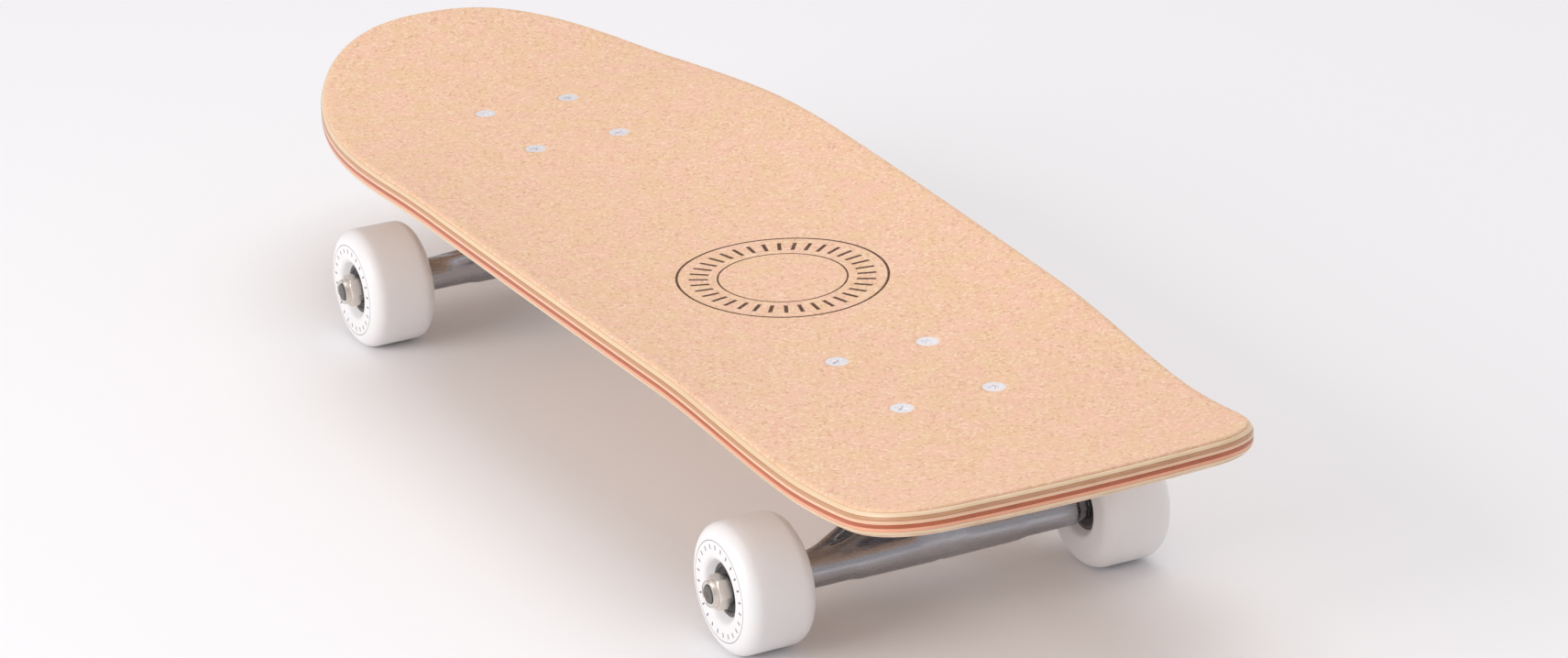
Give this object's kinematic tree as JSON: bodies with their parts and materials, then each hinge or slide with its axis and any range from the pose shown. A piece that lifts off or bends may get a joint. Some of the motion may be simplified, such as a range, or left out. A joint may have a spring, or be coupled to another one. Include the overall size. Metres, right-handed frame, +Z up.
{
  "type": "skateboard",
  "caption": "Small kicktail cruiser skateboard: laminated wooden deck with a cork-look grip sheet, sprung tilting trucks and white wheels on sealed bearings.",
  "frame": {"origin": "on the floor under the middle of the deck's length and width", "axes": "+X towards the nose, +Y to the rider's left, +Z up"},
  "size_m": [0.622, 0.2024, 0.1044],
  "materials": {
    "grip": "fine cork grain",
    "ply_cream": "satin lacquer",
    "ply_tan": "satin lacquer",
    "ply_peach": "satin lacquer",
    "ply_orange": "satin lacquer",
    "ply_pink": "satin lacquer",
    "ply_maple_face": "satin lacquer",
    "bolt_steel": "zinc plated",
    "nut_steel": "nickel plated",
    "cast_aluminium": "tumbled casting",
    "polished_aluminium": "raw, brushed",
    "kingpin_steel": "zinc plated",
    "pivot_plastic": "plain",
    "bushing_urethane": "plain",
    "washer_steel": "plain",
    "bearing_steel": "ground",
    "cage_nylon": "plain",
    "shield_rubber": "plain",
    "spacer_steel": "turned",
    "axle_steel": "threaded ends",
    "wheel_urethane": "semi-gloss"
  },
  "bodies": {
    "deck": {"deck_ply_1": "ply_cream", "deck_ply_2": "ply_tan", "deck_ply_3": "ply_peach", "deck_ply_4": "ply_orange", "deck_ply_5": "ply_pink", "deck_ply_6": "ply_cream", "deck_ply_7": "ply_maple_face", "front_baseplate": "cast_aluminium", "front_boardside_bushing": "bushing_urethane", "front_boardside_washer": "washer_steel", "front_kingpin": "kingpin_steel", "front_kingpin_nut": "nut_steel", "front_pivot_cup": "pivot_plastic", "front_roadside_bushing": "bushing_urethane", "front_roadside_washer": "washer_steel", "grip_sheet": "grip", "mount_bolts": "bolt_steel", "mount_nuts": "nut_steel", "rear_baseplate": "cast_aluminium", "rear_boardside_bushing": "bushing_urethane", "rear_boardside_washer": "washer_steel", "rear_kingpin": "kingpin_steel", "rear_kingpin_nut": "nut_steel", "rear_pivot_cup": "pivot_plastic", "rear_roadside_bushing": "bushing_urethane", "rear_roadside_washer": "washer_steel"},
    "front_hanger_set": {"front_axle": "axle_steel", "front_axle_nuts": "nut_steel", "front_bearing_inner_rings": "bearing_steel", "front_bearing_spacers": "spacer_steel", "front_hanger": "polished_aluminium", "front_speed_washers": "washer_steel"},
    "front_left_wheel_set": {"front_left_bearing_balls": "bearing_steel", "front_left_bearing_cages": "cage_nylon", "front_left_bearing_outer_rings": "bearing_steel", "front_left_bearing_shields": "shield_rubber", "front_left_wheel": "wheel_urethane"},
    "front_right_wheel_set": {"front_right_bearing_balls": "bearing_steel", "front_right_bearing_cages": "cage_nylon", "front_right_bearing_outer_rings": "bearing_steel", "front_right_bearing_shields": "shield_rubber", "front_right_wheel": "wheel_urethane"},
    "rear_hanger_set": {"rear_axle": "axle_steel", "rear_axle_nuts": "nut_steel", "rear_bearing_inner_rings": "bearing_steel", "rear_bearing_spacers": "spacer_steel", "rear_hanger": "polished_aluminium", "rear_speed_washers": "washer_steel"},
    "rear_left_wheel_set": {"rear_left_bearing_balls": "bearing_steel", "rear_left_bearing_cages": "cage_nylon", "rear_left_bearing_outer_rings": "bearing_steel", "rear_left_bearing_shields": "shield_rubber", "rear_left_wheel": "wheel_urethane"},
    "rear_right_wheel_set": {"rear_right_bearing_balls": "bearing_steel", "rear_right_bearing_cages": "cage_nylon", "rear_right_bearing_outer_rings": "bearing_steel", "rear_right_bearing_shields": "shield_rubber", "rear_right_wheel": "wheel_urethane"}
  },
  "joints": [
    {"name": "front_steer", "type": "hinge", "parent": "deck", "child": "front_hanger_set", "pos_m": [0.197, 0, 0.06725], "axis": [-0.8985, 0, -0.439], "range_deg": [-10, 10], "stiffness_Nm_per_rad": 45, "deforming": ["front_boardside_bushing", "front_roadside_bushing"]},
    {"name": "front_left_wheel_spin", "type": "hinge", "parent": "front_hanger_set", "child": "front_left_wheel_set", "pos_m": [0.18, 0.0804, 0.027], "axis": [0, 1, 0], "continuous": true},
    {"name": "front_right_wheel_spin", "type": "hinge", "parent": "front_hanger_set", "child": "front_right_wheel_set", "pos_m": [0.18, -0.0804, 0.027], "axis": [0, 1, 0], "continuous": true},
    {"name": "rear_steer", "type": "hinge", "parent": "deck", "child": "rear_hanger_set", "pos_m": [-0.205, 0, 0.06725], "axis": [0.8985, 0, -0.439], "range_deg": [-10, 10], "stiffness_Nm_per_rad": 45, "deforming": ["rear_boardside_bushing", "rear_roadside_bushing"]},
    {"name": "rear_left_wheel_spin", "type": "hinge", "parent": "rear_hanger_set", "child": "rear_left_wheel_set", "pos_m": [-0.188, 0.0804, 0.027], "axis": [0, 1, 0], "continuous": true},
    {"name": "rear_right_wheel_spin", "type": "hinge", "parent": "rear_hanger_set", "child": "rear_right_wheel_set", "pos_m": [-0.188, -0.0804, 0.027], "axis": [0, 1, 0], "continuous": true}
  ]
}
